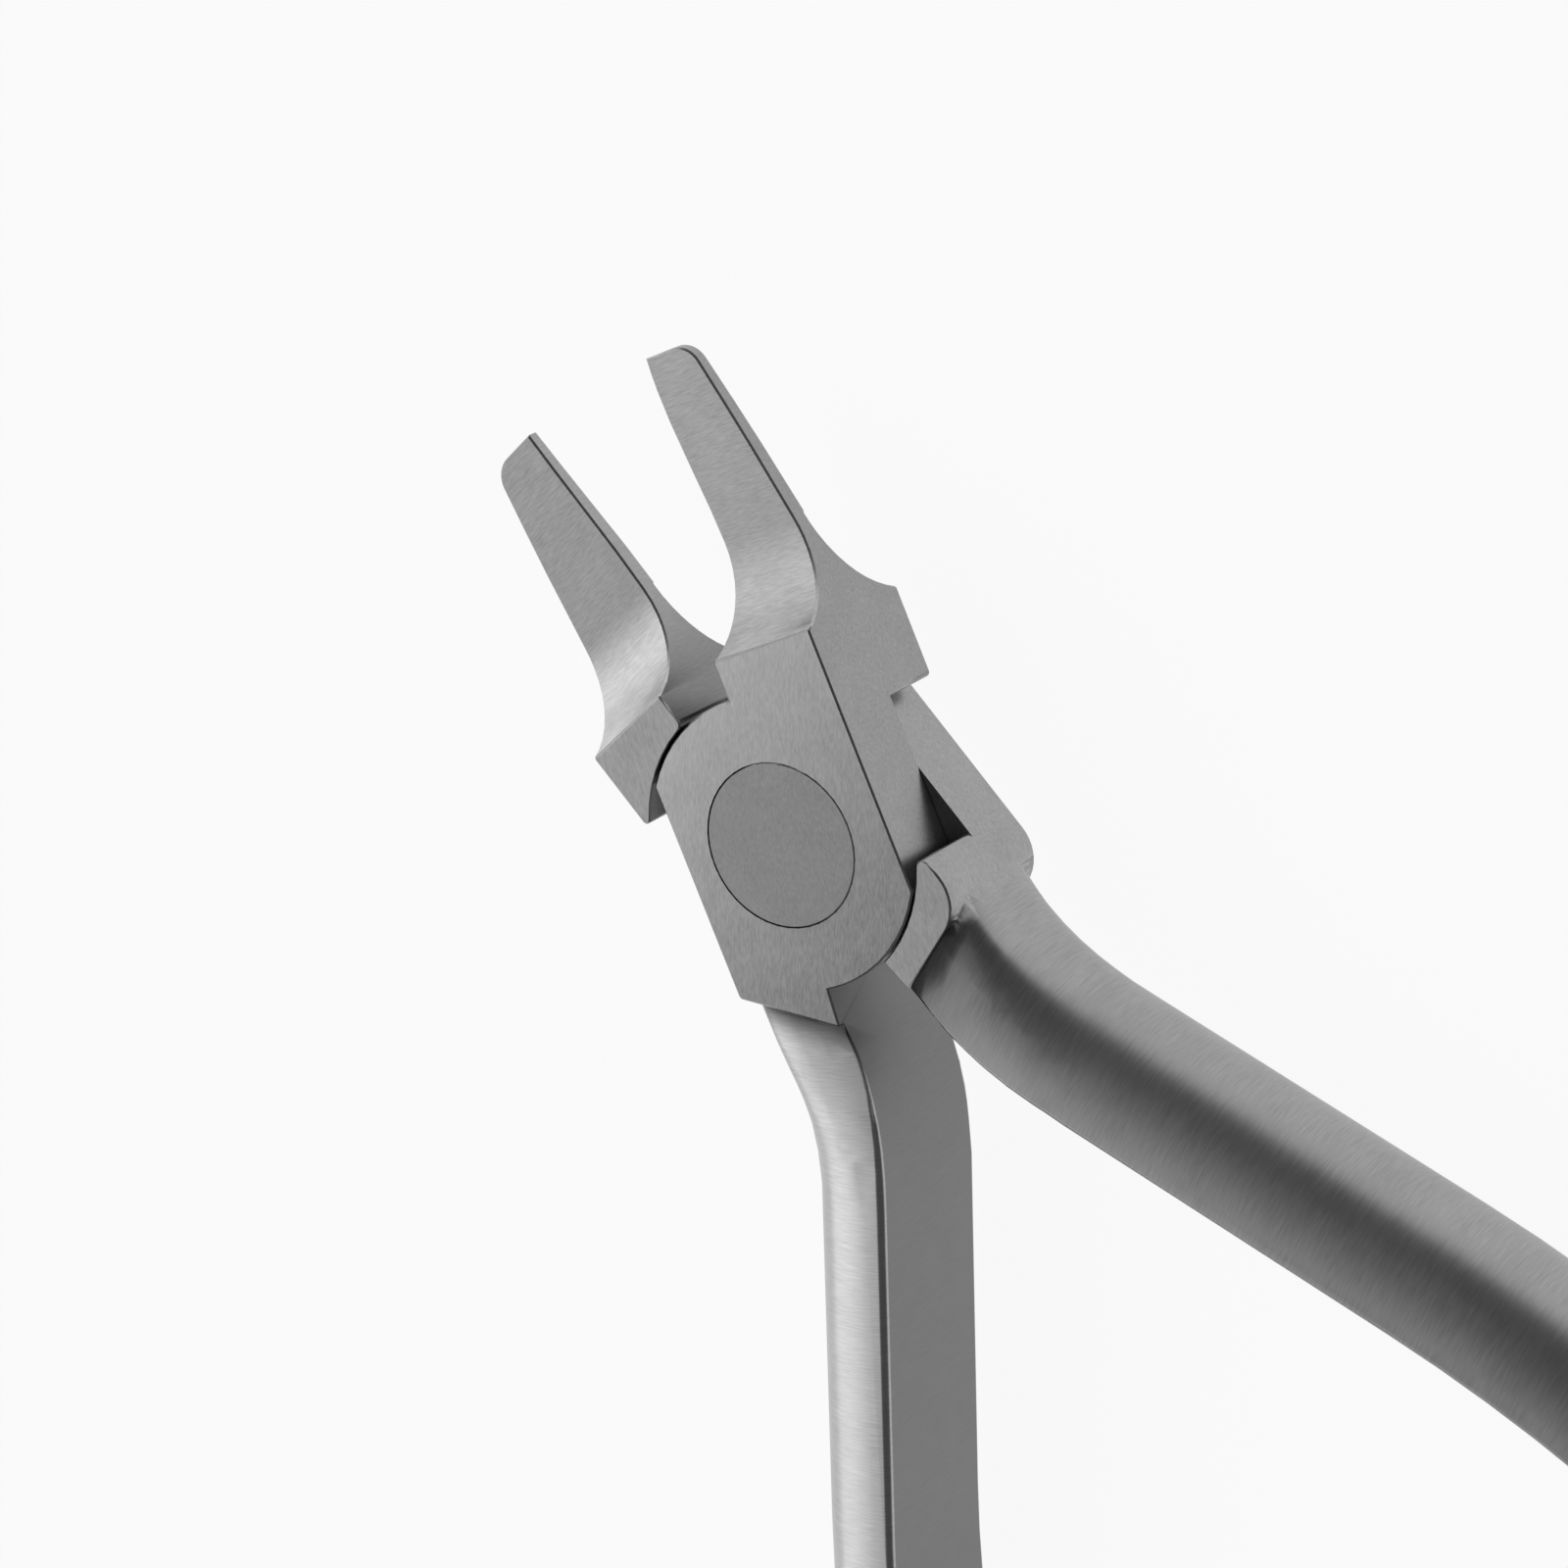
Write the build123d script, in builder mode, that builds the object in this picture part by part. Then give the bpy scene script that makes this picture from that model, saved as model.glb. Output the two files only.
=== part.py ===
from build123d import *
from math import cos, radians, sin, sqrt
import os

# Orthodontic pliers with a lap joint and thin flat beaks, lying on their back.
# The origin is on the pivot's axis at the back face, +Y towards the beak tips,
# +X to the right and +Z out of the front face. All sizes are in millimetres.

# Opening of the two halves as they lie at rest
opening_angle = 20.2

# Joint: two laps, one over the other, that turn on the pin
joint_thickness = 8.85
joint_width = 13.06
joint_offset = 0.22
front_lap = 4.60
lap_gap = 0.04
lap_radius = 0.615 * joint_width
turning_gap = 0.12
shoulder_height = lap_radius + 2.17
shoulder_corner = 0.30
recess_corner = 0.45
inner_corner = 0.45
notch_edge = 0.30

# Pin: a flush head in the front half and a shank riveted into the back half
head_diameter = 0.689 * joint_width
head_height = 2.20
shank_diameter = 0.60 * head_diameter
running_clearance = 0.05
head_clearance = 0.03
pin_edge = 0.06

# Beaks: thin flat blades that flare into the shoulders through a hollow
beak_reach = 26.05
beak_length = beak_reach - shoulder_height
tip_edge = 3.08
tip_thickness = 0.70
tip_corner = 1.40
tip_gap = 0.04
blade_thickness = 1.08
hollow_radius = 5.80
beak_bulge = 0.16
closing_line = 0.40
relief_height = shoulder_height + 0.29 * beak_length
relief_end = shoulder_height + 0.745 * beak_length
front_relief = 0.50
back_relief = 0.10

# Root of a handle, where the flat faces of the joint end on a slant
front_root_outer = lap_radius - 0.83
back_root_outer = lap_radius + 0.57
root_inner = lap_radius + 2.07
root_edge = 0.60
root_draft = 0.20
front_root_corner = 0.30
back_root_corner = 2.40

# Handle: a half-round bar, flat inside, that runs out on a slant and bows back
flare_angle = 23.5
handle_thickness = 5.85
handle_width = 9.85
handle_drop = 0.25
handle_line = 0.421 * joint_width
handle_bevel = 0.30
handle_fullness = 0.62
straight_end = 40.0
bow_radius = 80.0
grip_radius = 250.0
grip_turn = 9.0

mid_plane = joint_thickness / 2
back_lap = joint_thickness - front_lap - lap_gap

# Neck between joint and handle, as stations at an even pitch. Each gives how
# far the inner face lies inside the handle's line, the thickness, the width,
# how far the front edge lies below the front face, how full the round is at
# the front and at the back of the pliers (0.55 is an ellipse, 1 a square
# corner) and the bevel.
neck_start = root_inner - 1.50
neck_pitch = 1.90
neck_stations = [
    (2.62, 6.00, 8.70, 0.06, 0.96, 0.98, 0.02),
    (1.73, 6.25, 8.50, 0.42, 0.86, 0.98, 0.04),
    (0.96, 6.20, 8.85, 0.40, 0.74, 0.96, 0.10),
    (0.46, 6.10, 9.22, 0.33, 0.67, 0.84, 0.18),
    (0.16, 6.00, 9.50, 0.28, 0.64, 0.72, 0.25),
    (0.04, 5.90, 9.70, 0.26, 0.62, 0.65, handle_bevel),
    (0.00, handle_thickness, handle_width, handle_drop, handle_fullness, handle_fullness, handle_bevel),
]


def beak_outline(centre, face, relief):
    """Plan of a beak from its shoulder to the tip, with its inner face at x = face."""
    with BuildSketch() as outline:
        with BuildLine():
            shoulder = (centre + joint_width / 2, shoulder_height)
            edge = SagittaArc(shoulder, (centre + tip_edge, beak_reach), -beak_bulge)
            tip = Line(edge @ 1, (face, beak_reach))
            inner = Spline(
                tip @ 1,
                (face, relief_end),
                (face + relief, relief_height),
                (notch_edge, shoulder_height),
            )
            Line(inner @ 1, edge @ 0)
        make_face()
        outer_tip = outline.vertices().group_by(Axis.Y)[-1].sort_by(Axis.X)[-1]
        fillet(outer_tip, tip_corner)
    return outline.sketch


def beak_side():
    """Side view of a beak: blade, hollow and full thickness at the shoulder."""
    rise = hollow_radius + blade_thickness / 2 - mid_plane
    hollow_start = shoulder_height + sqrt(hollow_radius**2 - rise**2)
    with BuildSketch(Plane.YZ.offset(-joint_width).shift_origin((-joint_width, 0, mid_plane))) as side:
        with BuildLine():
            root = Line((shoulder_height, 0), (shoulder_height, mid_plane))
            hollow = RadiusArc(root @ 1, (hollow_start, blade_thickness / 2), -hollow_radius)
            blade = Line(hollow @ 1, (beak_reach, tip_thickness / 2))
            Line(blade @ 1, (beak_reach, 0))
            mirror(about=Plane.XZ)
        make_face()
    return side.sketch


def beak(centre, face, relief):
    """One beak: its plan and its side view cut from the same bar."""
    with BuildPart() as blade:
        extrude(beak_outline(centre, face, relief), amount=joint_thickness)
        extrude(beak_side(), amount=2 * joint_width, mode=Mode.INTERSECT)
    return blade.part


def shoulder_outline(centre):
    """Block that carries a beak beside the other half's lap."""
    with BuildSketch() as outline:
        with Locations((notch_edge, 0)):
            Rectangle(centre + joint_width / 2 - notch_edge, shoulder_height, align=Align.MIN)
    return outline.sketch


def root_outline(centre, outer, corner):
    """Block that carries a handle, ending on the slant."""
    side = centre - joint_width / 2
    with BuildSketch() as outline:
        with BuildLine():
            Polyline(
                (side, 0),
                (side, -outer),
                (-root_edge - root_draft, -root_inner),
                (-root_edge, -lap_radius),
                (-root_edge, 0),
                close=True,
            )
        make_face()
        fillet(outline.vertices().sort_by_distance((side, -outer))[0], corner)
    return outline.sketch


def lap_outline(centre, outer, corner):
    """Front view of a lap: a disc with flat sides, its shoulder and its root."""
    with BuildSketch() as outline:
        Circle(lap_radius)
        with Locations((centre, 0)):
            Rectangle(joint_width, 2 * lap_radius, mode=Mode.INTERSECT)
        add(shoulder_outline(centre))
        add(root_outline(centre, outer, corner))
    return outline.sketch


def full_thickness_outline(centre, outer, corner):
    """The shoulder and the root outside the circle that the other lap turns in."""
    with BuildSketch() as outline:
        add(shoulder_outline(centre))
        add(root_outline(centre, outer, corner))
        room = lap_radius + turning_gap
        Circle(room, mode=Mode.SUBTRACT)
        fillet(outline.vertices().sort_by_distance((-room, 0))[0], recess_corner)
        fillet(outline.vertices().sort_by_distance((room, 0))[0], shoulder_corner)
        fillet(outline.vertices().sort_by_distance((notch_edge, room))[0], inner_corner)
    return outline.sketch


def edge_outline(thickness, width, fullness, bevel):
    """Half a handle section, from the middle of the round to the middle of the inner face."""
    height = width / 2
    depth = thickness - bevel
    with BuildLine() as outline:
        Bezier(
            (thickness, 0),
            (thickness, height * fullness),
            (bevel + depth * fullness, height),
            (bevel, height),
        )
        Polyline((bevel, height), (0, height - bevel), (0, 0))
    return outline.line


def handle_section(plane, thickness, width, front_fullness, back_fullness, bevel):
    """Section of the handle: flat inner face, two bevels and a rounded outside."""
    front = edge_outline(thickness, width, front_fullness, bevel)
    back = edge_outline(thickness, width, back_fullness, bevel)
    with BuildSketch(plane) as section:
        with BuildLine():
            add(front)
            add(back.mirror(Plane.XZ))
        make_face()
    return section.sketch


def handle_plane(distance, inset, middle):
    """Plane across the handle: x outwards, z along it, with its inner face through the origin."""
    turn = radians(flare_angle)
    along = Vector(-sin(turn), -cos(turn), 0)
    outwards = Vector(-cos(turn), sin(turn), 0)
    return Plane(
        origin=along * distance + outwards * (inset - handle_line) + Vector(0, 0, middle),
        x_dir=outwards,
        z_dir=along,
    )


def handle_middle(width, drop, side):
    """Height of the middle of a handle whose front edge lies below the front face."""
    return mid_plane + side * (mid_plane - drop - width / 2)


def station_section(station, distance, side):
    """Section of the left-hand handle at a distance from the pin, as a station gives it."""
    inset, thickness, width, drop, front, back, bevel = station
    plane = handle_plane(distance, inset, handle_middle(width, drop, side))
    fullness = (front, back)[::side]
    return handle_section(plane, thickness, width, *fullness, bevel)


def handle(side):
    """Neck, straight run, bow and grip of the left-hand handle, with a domed end."""
    bow_start = handle_plane(straight_end, 0, handle_middle(handle_width, handle_drop, side))
    with BuildLine() as path:
        bow = JernArc(bow_start.origin, bow_start.z_dir, bow_radius, flare_angle)
        grip = JernArc(bow @ 1, bow % 1, grip_radius, grip_turn)
    outwards = Vector(-cos(radians(grip_turn)), -sin(radians(grip_turn)), 0)
    end = Plane(origin=grip @ 1, x_dir=outwards, z_dir=grip % 1)
    with BuildSketch(end) as end_half:
        with BuildLine():
            add(edge_outline(handle_thickness, handle_width, handle_fullness, handle_bevel))
            Line((0, 0), (handle_thickness, 0))
        make_face()
    neck = []
    for index, station in enumerate(neck_stations):
        neck.append(station_section(station, neck_start + index * neck_pitch, side))
    run_end = station_section(neck_stations[-1], straight_end, side)
    with BuildPart() as bar:
        loft(neck)
        loft([neck[-1], run_end], ruled=True)
        sweep(run_end, path=path.line)
        revolve(end_half.sketch, axis=Axis(end.origin, end.x_dir), revolution_arc=180)
    return bar.part


def forged_half(lap, side, relief, root_outer, root_corner):
    """One half as seen from the front: beak on the right, lap in front, handle on the left."""
    centre = side * joint_offset
    face = side * closing_line + tip_gap / 2
    with BuildPart() as half:
        with BuildSketch(Plane.XY.offset(joint_thickness - lap)):
            add(lap_outline(centre, root_outer, root_corner))
        extrude(amount=lap)
        with BuildSketch():
            add(full_thickness_outline(centre, root_outer, root_corner))
        extrude(amount=joint_thickness)
        add(beak(centre, face, relief))
        add(handle(side))
    return half.part


with BuildPart() as front_half:
    with Locations(Rotation(0, 0, -opening_angle / 2)):
        add(forged_half(front_lap, 1, front_relief, front_root_outer, front_root_corner))
    with Locations((0, 0, joint_thickness)):
        CounterBoreHole(
            shank_diameter / 2 + running_clearance,
            head_diameter / 2 + running_clearance,
            head_height + head_clearance,
        )

with BuildPart() as back_half:
    turned_over = Plane((0, 0, joint_thickness), x_dir=(-1, 0, 0), z_dir=(0, 0, -1))
    with Locations(Rotation(0, 0, opening_angle / 2) * turned_over.location):
        add(forged_half(back_lap, -1, back_relief, back_root_outer, back_root_corner))
    Hole(shank_diameter / 2)

with BuildPart() as pivot_pin:
    with BuildSketch(Plane.XZ) as profile:
        with BuildLine():
            Polyline(
                (0, 0),
                (shank_diameter / 2 - pin_edge, 0),
                (shank_diameter / 2, pin_edge),
                (shank_diameter / 2, joint_thickness - head_height),
                (head_diameter / 2, joint_thickness - head_height),
                (head_diameter / 2, joint_thickness - pin_edge),
                (head_diameter / 2 - pin_edge, joint_thickness),
                (0, joint_thickness),
                close=True,
            )
        make_face()
    revolve(axis=Axis.Z)

os.makedirs("parts", exist_ok=True)
front_half.part.label = "front_half"
back_half.part.label = "back_half"
pivot_pin.part.label = "pivot_pin"
export_step(front_half.part, "parts/front_half.step")
export_step(back_half.part, "parts/back_half.step")
export_step(pivot_pin.part, "parts/pivot_pin.step")
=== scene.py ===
from math import copysign, radians

import bmesh
import bpy
from mathutils import Matrix, Vector


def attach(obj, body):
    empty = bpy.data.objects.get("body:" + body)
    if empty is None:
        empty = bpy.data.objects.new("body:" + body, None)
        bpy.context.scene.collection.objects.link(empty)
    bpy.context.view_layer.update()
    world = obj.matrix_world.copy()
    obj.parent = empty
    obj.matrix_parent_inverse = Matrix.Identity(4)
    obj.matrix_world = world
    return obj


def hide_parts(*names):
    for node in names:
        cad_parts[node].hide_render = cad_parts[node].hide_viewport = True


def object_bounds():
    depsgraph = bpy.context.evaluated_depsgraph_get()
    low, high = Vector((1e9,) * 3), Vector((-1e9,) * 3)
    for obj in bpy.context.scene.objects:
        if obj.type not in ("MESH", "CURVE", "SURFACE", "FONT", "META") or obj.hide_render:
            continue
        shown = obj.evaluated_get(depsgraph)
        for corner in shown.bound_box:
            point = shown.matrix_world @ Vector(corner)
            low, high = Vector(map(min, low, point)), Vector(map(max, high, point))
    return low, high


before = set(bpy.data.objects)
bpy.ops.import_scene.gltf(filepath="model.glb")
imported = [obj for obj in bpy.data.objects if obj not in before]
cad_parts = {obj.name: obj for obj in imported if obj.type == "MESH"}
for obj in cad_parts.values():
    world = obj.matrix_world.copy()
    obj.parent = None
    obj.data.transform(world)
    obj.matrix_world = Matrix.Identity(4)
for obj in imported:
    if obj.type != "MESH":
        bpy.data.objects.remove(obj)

cad_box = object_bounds()

# Front half: the forging in front, with the right beak and the left handle.
# Stainless steel, ground flat on the joint and brushed to a satin, its edges
# broken by hand with a fine stone. The insides of the handles stay duller, and
# are darker with painted shade.
millimetre = 0.001
merge_distance = 0.02 * millimetre
flat_angle = radians(0.5)


def clean_copy(node, name):
    """A piece's own surface as one clean mesh without a material."""
    bpy.ops.object.select_all(action="DESELECT")
    piece = bpy.data.objects.new(name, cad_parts[node].data.copy())
    bpy.context.collection.objects.link(piece)
    bpy.context.view_layer.objects.active = piece
    piece.select_set(True)
    piece.data.materials.clear()
    bpy.ops.object.mode_set(mode="EDIT")
    bpy.ops.mesh.select_all(action="SELECT")
    bpy.ops.mesh.remove_doubles(threshold=merge_distance)
    bpy.ops.mesh.dissolve_limited(angle_limit=flat_angle)
    bpy.ops.object.mode_set(mode="OBJECT")
    return piece


front_forging = clean_copy("front_half", "front_forging")

edge_break = 0.10 * millimetre
crease_angle = radians(30)
bore_edge = 4.7 * millimetre
lap_plane = 4.23 * millimetre
lap_margin = 0.3 * millimetre


def break_edges(piece):
    """A narrow flat along the sharp outer edges, but not at the pin's bore or between the laps."""
    bpy.ops.object.mode_set(mode="EDIT")
    shape = bmesh.from_edit_mesh(piece.data)
    weight = shape.edges.layers.float.new("bevel_weight_edge")
    for edge in shape.edges:
        at_bore = max(end.co.xy.length for end in edge.verts) < bore_edge
        at_laps = min(abs(end.co.z - lap_plane) for end in edge.verts) < lap_margin
        sharp = edge.is_convex and edge.calc_face_angle() > crease_angle
        if sharp and not at_bore and not at_laps:
            edge[weight] = 1.0
    bmesh.update_edit_mesh(piece.data)
    bpy.ops.object.mode_set(mode="OBJECT")
    bevel = piece.modifiers.new("edge_break", "BEVEL")
    bevel.width = edge_break
    bevel.segments = 1
    bevel.limit_method = "WEIGHT"
    bevel.miter_outer = "MITER_ARC"
    bevel.loop_slide = False
    bevel.use_clamp_overlap = False
    bpy.ops.object.modifier_apply(modifier=bevel.name)


break_edges(front_forging)

level_normal = 0.9999
large_face_weight = 90


def shade_evenly(piece):
    """Smooth shading across the rounds that leaves the large flats flat."""
    bpy.ops.object.shade_smooth_by_angle(angle=crease_angle)
    for face in piece.data.polygons:
        face.use_smooth = abs(face.normal.z) < level_normal
    shading = piece.modifiers.new("even_shading", "WEIGHTED_NORMAL")
    shading.keep_sharp = True
    shading.weight = large_face_weight
    bpy.ops.object.modifier_apply(modifier=shading.name)


shade_evenly(front_forging)


def fill_inputs(tree, node, values):
    """Set a node's inputs in order: a number is written in, another node's output is linked."""
    for socket, value in zip(node.inputs, values):
        if isinstance(value, bpy.types.NodeSocket):
            tree.links.new(value, socket)
        else:
            socket.default_value = value


def maths(tree, operation, *values):
    """The result of one operation on numbers."""
    node = tree.nodes.new("ShaderNodeMath")
    node.operation = operation
    fill_inputs(tree, node, values)
    return node.outputs["Value"]


def vector_maths(tree, operation, *values):
    """The results of one operation on vectors."""
    node = tree.nodes.new("ShaderNodeVectorMath")
    node.operation = operation
    fill_inputs(tree, node, values)
    return node.outputs


def noise(tree, place, scale, roughness):
    """A soft random pattern between 0 and 1."""
    node = tree.nodes.new("ShaderNodeTexNoise")
    tree.links.new(place, node.inputs["Vector"])
    node.inputs["Scale"].default_value = scale
    node.inputs["Detail"].default_value = 3.0
    node.inputs["Roughness"].default_value = roughness
    return node.outputs["Fac"]


mottle_scale = 420.0
mottle_share = 0.25
stroke_dullness = 0.10


def brushed_grain_group():
    """Fine strokes, as many to the metre along each axis as asked, a faint mottle, and painted light
    and shade.
    """
    group = bpy.data.node_groups.new("brushed_grain", "ShaderNodeTree")
    for name, kind in (
        ("Turn", "Vector"),
        ("Strokes", "Vector"),
        ("Tone", "Color"),
        ("Tone Spread", "Float"),
        ("Tone Slope", "Vector"),
        ("Dullness", "Float"),
        ("Shade Side", "Vector"),
        ("Shade Start", "Float"),
        ("Shade End", "Float"),
        ("Shade Tone", "Float"),
    ):
        group.interface.new_socket(name, in_out="INPUT", socket_type="NodeSocket" + kind)
    for name, kind in (("Color", "Color"), ("Roughness", "Float"), ("Height", "Float")):
        group.interface.new_socket(name, in_out="OUTPUT", socket_type="NodeSocket" + kind)
    given = group.nodes.new("NodeGroupInput").outputs
    result = group.nodes.new("NodeGroupOutput").inputs
    links = group.links
    place = group.nodes.new("ShaderNodeTexCoord").outputs["Object"]

    turned = group.nodes.new("ShaderNodeVectorRotate")
    turned.rotation_type = "EULER_XYZ"
    links.new(place, turned.inputs["Vector"])
    links.new(given["Turn"], turned.inputs["Rotation"])
    stretched = vector_maths(group, "MULTIPLY", turned.outputs["Vector"], given["Strokes"])
    strokes = noise(group, stretched["Vector"], scale=1.0, roughness=0.6)
    mottle = noise(group, place, scale=mottle_scale, roughness=0.5)
    blended = maths(group, "MULTIPLY_ADD", mottle, mottle_share, strokes)
    centred = maths(group, "SUBTRACT", blended, 0.5 * (1 + mottle_share))

    # Painted light: the tone grows lighter or darker across the surface along Tone Slope.
    sloped = vector_maths(group, "DOT_PRODUCT", place, given["Tone Slope"])
    paler = maths(group, "ADD", sloped["Value"], 1.0)
    spread = maths(group, "MULTIPLY_ADD", centred, given["Tone Spread"], paler)
    # Painted light and shade: the tone starts at Shade Tone and runs out to its own between Shade
    # Start and Shade End.
    distance = vector_maths(group, "DOT_PRODUCT", place, given["Shade Side"])
    shade = group.nodes.new("ShaderNodeMapRange")
    shade.interpolation_type = "SMOOTHSTEP"
    links.new(distance["Value"], shade.inputs["Value"])
    links.new(given["Shade Start"], shade.inputs["From Min"])
    links.new(given["Shade End"], shade.inputs["From Max"])
    links.new(given["Shade Tone"], shade.inputs["To Min"])
    shaded = maths(group, "MULTIPLY", spread, shade.outputs["Result"])
    toned = vector_maths(group, "MULTIPLY", given["Tone"], shaded)

    links.new(toned["Vector"], result["Color"])
    dulled = maths(group, "MULTIPLY_ADD", strokes, stroke_dullness, given["Dullness"])
    links.new(dulled, result["Roughness"])
    links.new(strokes, result["Height"])
    return group


brushed_grain = brushed_grain_group()
bump_strength = 0.3
scratch_depth = 0.006 * millimetre


def satin_steel(name, turn, strokes, tone, tone_spread, dullness=0.25):
    """Brushed stainless steel: its pattern is turned about Z, then drawn out into strokes."""
    material = bpy.data.materials.new(name)
    material.use_nodes = True
    nodes, links = material.node_tree.nodes, material.node_tree.links
    surface = nodes["Principled BSDF"]
    surface.inputs["Metallic"].default_value = 1.0
    grain = nodes.new("ShaderNodeGroup")
    grain.node_tree = brushed_grain
    grain.inputs["Turn"].default_value = (0, 0, turn)
    grain.inputs["Strokes"].default_value = strokes
    grain.inputs["Tone"].default_value = (tone, tone, tone, 1)
    grain.inputs["Tone Spread"].default_value = tone_spread
    grain.inputs["Dullness"].default_value = dullness
    grain.inputs["Shade End"].default_value = 1.0
    grain.inputs["Shade Tone"].default_value = 1.0
    links.new(grain.outputs["Color"], surface.inputs["Base Color"])
    links.new(grain.outputs["Roughness"], surface.inputs["Roughness"])
    bump = nodes.new("ShaderNodeBump")
    bump.inputs["Strength"].default_value = bump_strength
    bump.inputs["Distance"].default_value = scratch_depth
    links.new(grain.outputs["Height"], bump.inputs["Height"])
    links.new(bump.outputs["Normal"], surface.inputs["Normal"])
    return material, grain.inputs


def shade_from(grain, side, start, length, shade_tone):
    """Painted light and shade: start a steel in another tone, and run out to its own over a length
    towards one side.
    """
    grain["Shade Side"].default_value = side
    grain["Shade Start"].default_value = start
    grain["Shade End"].default_value = start + length
    grain["Shade Tone"].default_value = shade_tone


strokes_along_joint = (11000, 2000, 11000)
joint_stroke_turn = radians(25.6)


def joint_steels(piece, turn, plate_tone, plate_painted_light_slope, side_tone):
    """The ground flats of the joint, brushed lengthwise: its plate and its sides."""
    stroke_turn = joint_stroke_turn - turn
    plate, plate_grain = satin_steel(
        piece.name + "_plate", stroke_turn, strokes_along_joint, plate_tone, tone_spread=0.8
    )
    # Painted light: the plate grows lighter and darker across its face along this slope.
    plate_grain["Tone Slope"].default_value = plate_painted_light_slope
    sides, _ = satin_steel(
        piece.name + "_sides", stroke_turn, strokes_along_joint, side_tone, tone_spread=0.8
    )
    return [plate, sides]


strokes_across_beak = (1400, 11000, 1400)
beak_start = 10.2 * millimetre
highlight_length = 5.5 * millimetre
beak_inside_shade_length = 6.0 * millimetre
beak_inside_painted_shade = 0.68


def beak_steels(piece, turn, beak_tone, hollow_painted_highlight, inside_tone):
    """The beak, brushed across, with a painted highlight in its hollow, and painted shade on its
    inside.
    """
    along_beak = Matrix.Rotation(turn, 3, "Z") @ Vector((0, 1, 0))
    beak, beak_grain = satin_steel(
        piece.name + "_beak", -turn, strokes_across_beak, beak_tone, tone_spread=0.8
    )
    # Painted highlight: the hollow starts lighter at the beak's root and runs out to the beak's own
    # tone.
    shade_from(beak_grain, along_beak, beak_start, highlight_length, hollow_painted_highlight)
    inside, inside_grain = satin_steel(
        piece.name + "_beak_inside", -turn, strokes_across_beak, inside_tone, tone_spread=0.5
    )
    # Painted shade: the inside of the beak starts darker at its root and runs out to its own tone.
    shade_from(inside_grain, along_beak, beak_start, beak_inside_shade_length, beak_inside_painted_shade)
    return [beak, inside]


strokes_across_handle = (700, 14000, 700)
front_face = cad_box[1][2]


def handle_steels(
    piece, stroke_turn, tone, dullness, crease_side, crease_start, root_painted_shade, root_length, root_depth
):
    """The handle, brushed across, with painted shade at its root, and its dull inside, darker with
    painted shade.
    """
    strokes = strokes_across_handle
    handle, handle_grain = satin_steel(
        piece.name + "_handle", stroke_turn, strokes, tone, tone_spread=0.7, dullness=dullness
    )
    # Painted shade: the handle starts darker just past the crease at its root and runs out to its
    # own tone; root_depth fades it away below the front face.
    root_side = crease_side - root_depth * Vector((0, 0, 1))
    root_start = crease_start - root_depth * front_face
    shade_from(handle_grain, root_side, root_start, root_length, root_painted_shade)
    # Painted shade: the inside facing the other handle gets a dark tone of 0.20, besides its greater
    # roughness.
    inside, _ = satin_steel(
        piece.name + "_inside", stroke_turn, strokes, tone=0.20, tone_spread=0.4, dullness=0.35
    )
    return [handle, inside]


handle_inside_start = -8.8 * millimetre
beak_inside_start = 8.3 * millimetre
plate_least_normal = 0.9
beak_least_normal = 0.02
upright_normal = 0.05
sideways_normal = 0.3


def lay_steels(piece, turn, crease_side, crease_start, steels):
    """Give each face its steel, by its place and its normal in the forging's own frame."""
    for steel in steels:
        piece.data.materials.append(steel)
    sides, beak, beak_inside, handle, handle_inside = range(1, 6)
    own_frame = Matrix.Rotation(-turn, 3, "Z")
    handle_side = copysign(1, (own_frame @ crease_side).x)
    for face in piece.data.polygons:
        along = (own_frame @ face.center).y
        normal = own_frame @ face.normal
        if normal.z < plate_least_normal:
            face.material_index = sides
        if along > beak_start and normal.z > beak_least_normal:
            face.material_index = beak
        if face.center.dot(crease_side) > crease_start:
            face.material_index = handle
        if abs(normal.z) < upright_normal and abs(normal.x) > sideways_normal:
            faces_other_handle = normal.x * handle_side < 0
            if faces_other_handle and along < handle_inside_start:
                face.material_index = handle_inside
            if not faces_other_handle and along > beak_inside_start:
                face.material_index = beak_inside


front_turn = radians(-10.1)
front_crease_side = Matrix.Rotation(front_turn, 3, "Z") @ Vector((-0.466, -0.885, 0))
front_crease_start = 9.31 * millimetre
# Painted light and shade: one steel, given a lighter or darker tone on the plate, sides, beak and
# handle to paint how each is lit.
front_steels = joint_steels(
    front_forging, front_turn, plate_tone=0.352, plate_painted_light_slope=(-9, 30, 0), side_tone=0.32
)
front_steels += beak_steels(
    front_forging, front_turn, beak_tone=0.39, hollow_painted_highlight=1.15, inside_tone=0.32
)
front_steels += handle_steels(
    front_forging,
    stroke_turn=radians(24.4),
    tone=0.41,
    dullness=0.25,
    crease_side=front_crease_side,
    crease_start=front_crease_start,
    root_painted_shade=0.20,
    root_length=2.2 * millimetre,
    root_depth=0,
)
lay_steels(front_forging, front_turn, front_crease_side, front_crease_start, front_steels)
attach(front_forging, "front_body")
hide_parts("front_half")

# Back half: the same stainless forging turned over, with the left beak and the
# right handle, brushed in the same way. Its lap lies behind the front one and
# holds the riveted pin.
back_forging = clean_copy("back_half", "back_forging")
break_edges(back_forging)
shade_evenly(back_forging)

back_turn = -front_turn
back_crease_side = Matrix.Rotation(back_turn, 3, "Z") @ Vector((0.2445, -0.970, 0))
back_crease_start = 9.99 * millimetre
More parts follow.
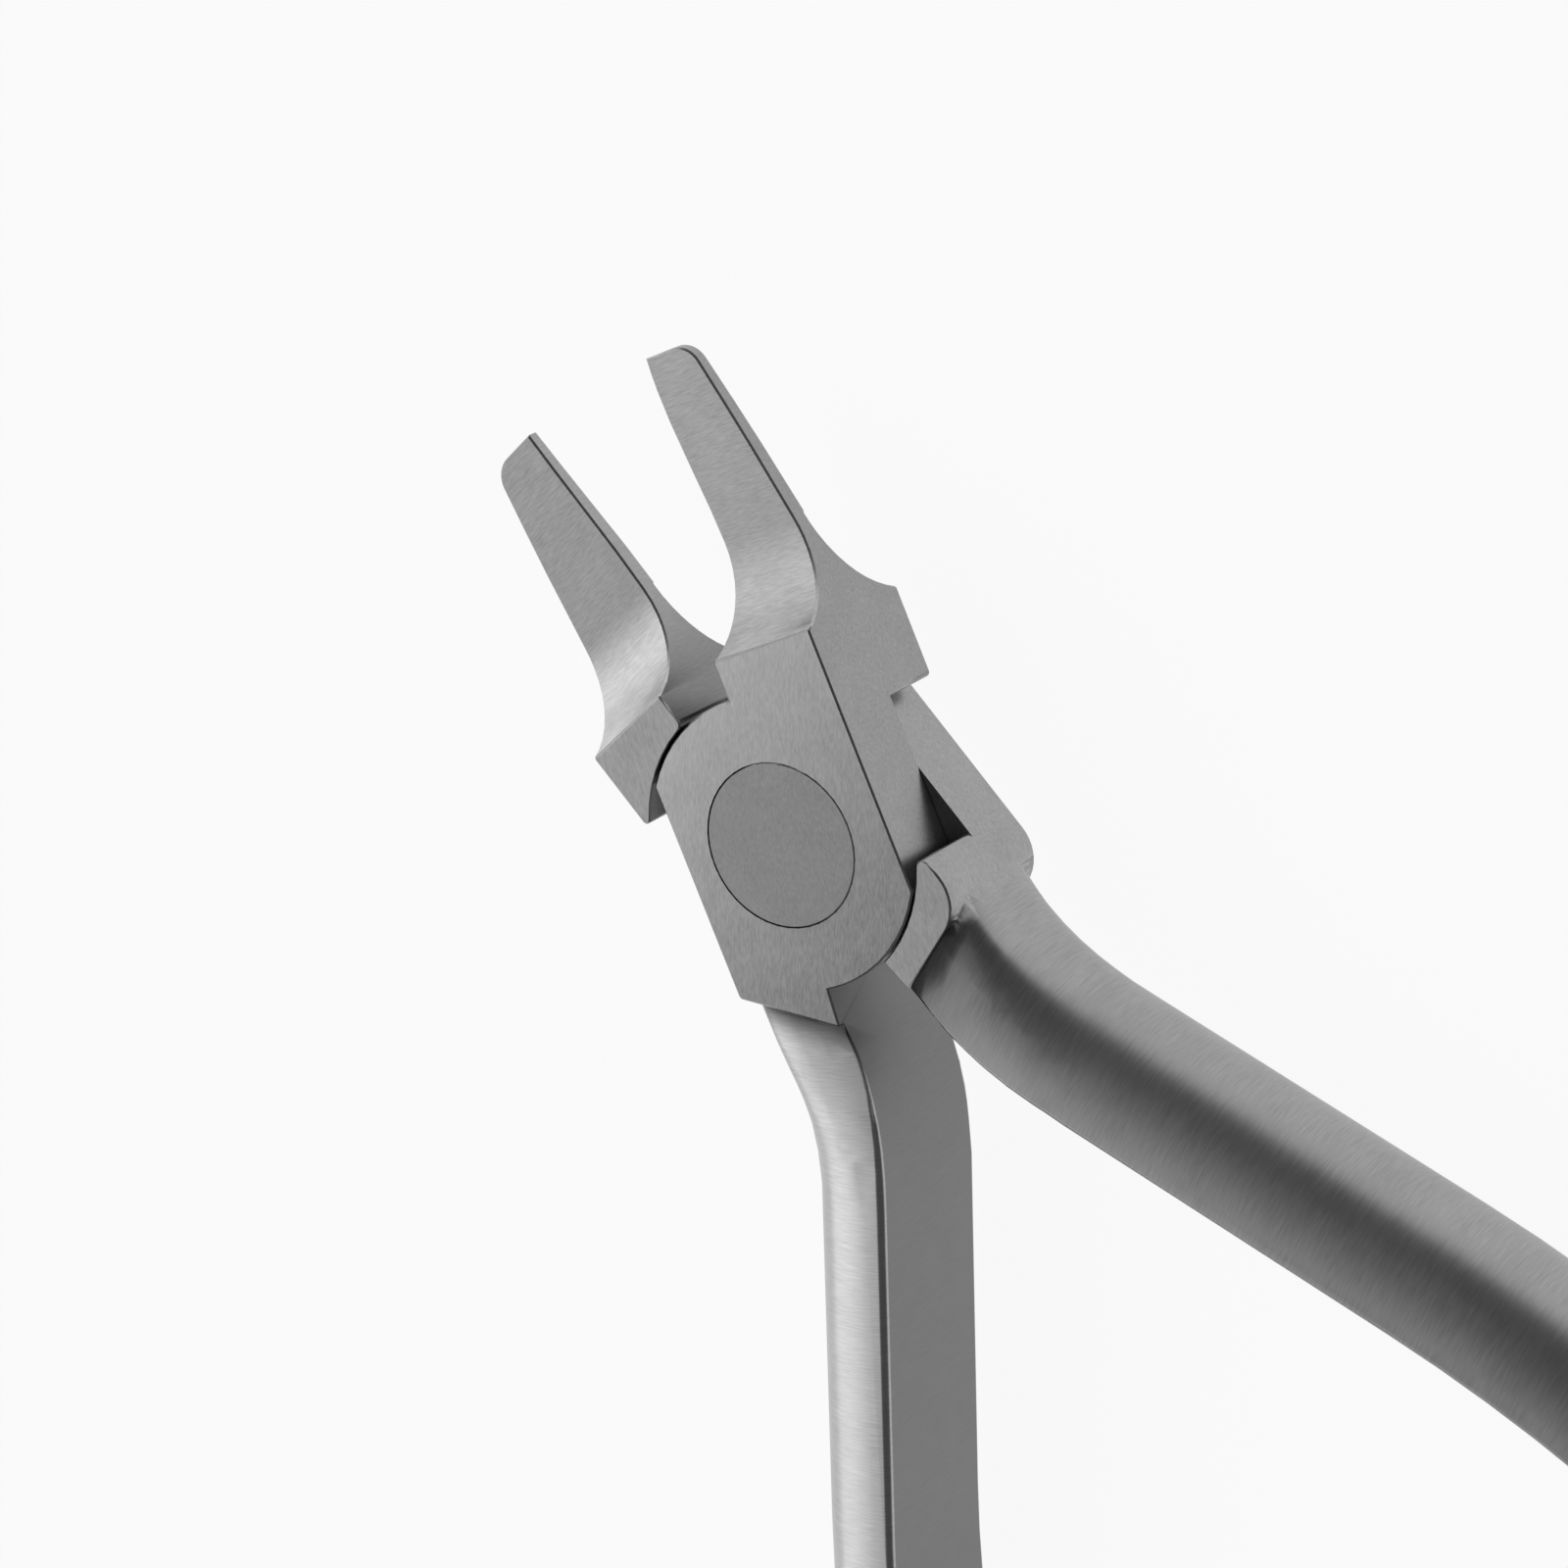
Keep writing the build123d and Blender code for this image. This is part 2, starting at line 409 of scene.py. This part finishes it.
# Painted light and shade: the back half is the same steel as the front, and its tones differ from
# the front's only to paint how it is lit.
back_steels = joint_steels(
    back_forging, back_turn, plate_tone=0.36, plate_painted_light_slope=(0, 0, 0), side_tone=0.355
)
back_steels += beak_steels(
    back_forging, back_turn, beak_tone=0.33, hollow_painted_highlight=1.75, inside_tone=0.355
)
back_steels += handle_steels(
    back_forging,
    stroke_turn=radians(-33.6),
    tone=0.36,
    dullness=0.34,
    crease_side=back_crease_side,
    crease_start=back_crease_start,
    root_painted_shade=0.60,
    root_length=9.0 * millimetre,
    root_depth=3.0,
)
lay_steels(back_forging, back_turn, back_crease_side, back_crease_start, back_steels)
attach(back_forging, "back_body")
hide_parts("back_half")

# Pivot pin: a turned steel rivet, pressed into the back half, its head ground
# flush with the front face and left a little darker than the plate around it.
pin_tone = 0.28
pin_strokes = (9000, 3500, 9000)
pin = clean_copy("pivot_pin", "pin_rivet")
shade_evenly(pin)
pin_satin, _ = satin_steel("pin_satin", joint_stroke_turn, pin_strokes, pin_tone, tone_spread=0.6)
pin.data.materials.append(pin_satin)
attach(pin, "back_body")
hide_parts("pivot_pin")

# Floor: a plain sheet of white paper that takes the pliers' soft shadow. It
# lies a hair below the undersides of the handles.
lowest = cad_box[0][2]
floor_size = 3.0
floor_gap = 0.02 * millimetre
paper_tone = 0.85
paper_white_share = 0.93
bpy.ops.object.select_all(action="DESELECT")
bpy.ops.mesh.primitive_plane_add(size=floor_size, location=(0, 0, lowest - floor_gap))
floor = bpy.context.object
floor.name = "floor"


def white_paper():
    """White paper that shows as white to the eye and in the steel, and takes a faint shadow."""
    material = bpy.data.materials.new("white_paper")
    material.use_nodes = True
    tree = material.node_tree
    paper = tree.nodes["Principled BSDF"]
    paper.inputs["Base Color"].default_value = (paper_tone, paper_tone, paper_tone, 1)
    paper.inputs["Roughness"].default_value = 1.0
    paper.inputs["Specular IOR Level"].default_value = 0.0
    shown = tree.nodes.new("ShaderNodeEmission")
    shown.inputs["Strength"].default_value = 1.0
    rays = tree.nodes.new("ShaderNodeLightPath").outputs
    mirrored = maths(tree, "MAXIMUM", rays["Is Glossy Ray"], rays["Is Transmission Ray"])
    seen = maths(tree, "MAXIMUM", rays["Is Camera Ray"], mirrored)
    mixed = tree.nodes.new("ShaderNodeMixShader")
    tree.links.new(maths(tree, "MULTIPLY", seen, paper_white_share), mixed.inputs["Fac"])
    tree.links.new(paper.outputs["BSDF"], mixed.inputs[1])
    tree.links.new(shown.outputs["Emission"], mixed.inputs[2])
    tree.links.new(mixed.outputs["Shader"], tree.nodes["Material Output"].inputs["Surface"])
    return material


floor.data.materials.append(white_paper())

# Light: a large room that is pale on the left and behind, brightest at a
# window low on the left, and dark on the right but for a pale skirting.
room_dark = 0.12
pale_side = Vector((-0.80, 0.52, 0.30)).normalized()
pale_edges = (0.40, 1.0)
pale_light = 1.30
window_side = Vector((-0.97, 0.10, 0.20)).normalized()
window_edges = (0.80, 0.98)
window_light = 0.55
skirting_side = Vector((0.30, 0.19, -0.93)).normalized()
skirting_edges = (0.12, 0.24)
skirting_light = 0.8


def studio_room():
    """A room that grows paler towards one side, with a soft window and a pale skirting."""
    world = bpy.data.worlds.new("studio_room")
    world.use_nodes = True
    tree = world.node_tree
    place = tree.nodes.new("ShaderNodeTexCoord").outputs["Generated"]
    total = room_dark
    for side, edges, light in (
        (pale_side, pale_edges, pale_light),
        (window_side, window_edges, window_light),
        (skirting_side, skirting_edges, skirting_light),
    ):
        facing = vector_maths(tree, "DOT_PRODUCT", place, side)
        glow = tree.nodes.new("ShaderNodeMapRange")
        tree.links.new(facing["Value"], glow.inputs["Value"])
        glow.inputs["From Min"].default_value = edges[0]
        glow.inputs["From Max"].default_value = edges[1]
        glow.inputs["To Max"].default_value = light
        total = maths(tree, "ADD", glow.outputs["Result"], total)
    background = tree.nodes["Background"]
    background.inputs["Color"].default_value = (1, 1, 1, 1)
    tree.links.new(total, background.inputs["Strength"])
    bpy.context.scene.world = world


studio_room()

# Camera: above the front face, to the right of the pliers, as in the photograph.
# Directions are those of the front half before its turn about the pin.
picture_width = 1600
focal_pixels = 4893
pin_pixel = (796.47, 863.04)
pin_distance = 0.250
sensor_width = 36.0
camera_right = Vector((0.76552, -0.36646, -0.52886))
camera_down = Vector((-0.23642, -0.92466, 0.2985))
camera_ahead = Vector((-0.5984, -0.10348, -0.79449))
stance = Matrix.Rotation(front_turn, 3, "Z")
axes = stance @ Matrix((camera_right, -camera_down, -camera_ahead)).transposed()
pin_face = Vector((0, 0, front_face))
bpy.ops.object.camera_add()
camera = bpy.context.object
camera.data.sensor_width = sensor_width
camera.data.lens = focal_pixels / picture_width * sensor_width
camera.data.shift_x = 0.5 - pin_pixel[0] / picture_width
camera.data.shift_y = pin_pixel[1] / picture_width - 0.5
camera.data.clip_start = 0.01
camera.matrix_world = (
    Matrix.Translation(pin_face - pin_distance * (stance @ camera_ahead)) @ axes.to_4x4()
)
bpy.context.scene.camera = camera
bpy.context.scene.view_settings.view_transform = "Standard"
